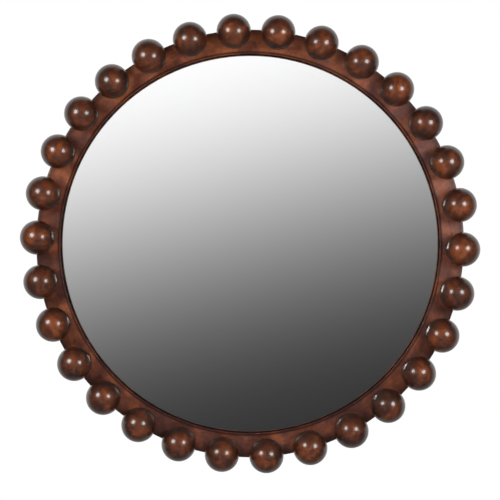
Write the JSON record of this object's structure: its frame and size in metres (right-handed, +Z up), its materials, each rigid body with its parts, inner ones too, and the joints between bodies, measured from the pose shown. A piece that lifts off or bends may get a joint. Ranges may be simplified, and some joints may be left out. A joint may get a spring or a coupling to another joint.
{
  "type": "round wall mirror",
  "caption": "Round wall mirror: glass set back in a flat brown wooden ring that carries a circle of glossy turned wooden balls on its face; hangs flush on keyhole plates.",
  "frame": {"origin": "centre of the mirror on the plane of the wall that its pads rest against", "axes": "+Z up, +Y into the wall, so the glass faces -Y; +X is to the right seen from the front"},
  "size_m": [0.8, 0.084, 0.796],
  "materials": {
    "ring_wood": "reddish brown stain under clear satin lacquer",
    "ball_wood": "mottled warm brown stain under clear gloss lacquer",
    "yellow_zinc_screw": "yellow zinc plating",
    "mirror": "silvered float glass with seamed edges",
    "back_board": "plain brown fibreboard",
    "zinc_steel": "bright zinc plating",
    "pad_rubber": "matt black"
  },
  "bodies": {
    "root": {"frame_ring": "ring_wood", "ball_01": "ball_wood", "ball_02": "ball_wood", "ball_03": "ball_wood", "ball_04": "ball_wood", "ball_05": "ball_wood", "ball_06": "ball_wood", "ball_07": "ball_wood", "ball_08": "ball_wood", "ball_09": "ball_wood", "ball_10": "ball_wood", "ball_11": "ball_wood", "ball_12": "ball_wood", "ball_13": "ball_wood", "ball_14": "ball_wood", "ball_15": "ball_wood", "ball_16": "ball_wood", "ball_17": "ball_wood", "ball_18": "ball_wood", "ball_19": "ball_wood", "ball_20": "ball_wood", "ball_21": "ball_wood", "ball_22": "ball_wood", "ball_23": "ball_wood", "ball_24": "ball_wood", "ball_25": "ball_wood", "ball_26": "ball_wood", "ball_27": "ball_wood", "ball_28": "ball_wood", "ball_29": "ball_wood", "ball_30": "ball_wood", "ball_screws": "yellow_zinc_screw", "mirror_glass": "mirror", "back_board": "back_board", "retaining_clips": "zinc_steel", "clip_screws": "zinc_steel", "hanger_plate_left": "zinc_steel", "hanger_plate_right": "zinc_steel", "hanger_screws": "zinc_steel", "wall_pads": "pad_rubber"}
  },
  "joints": []
}
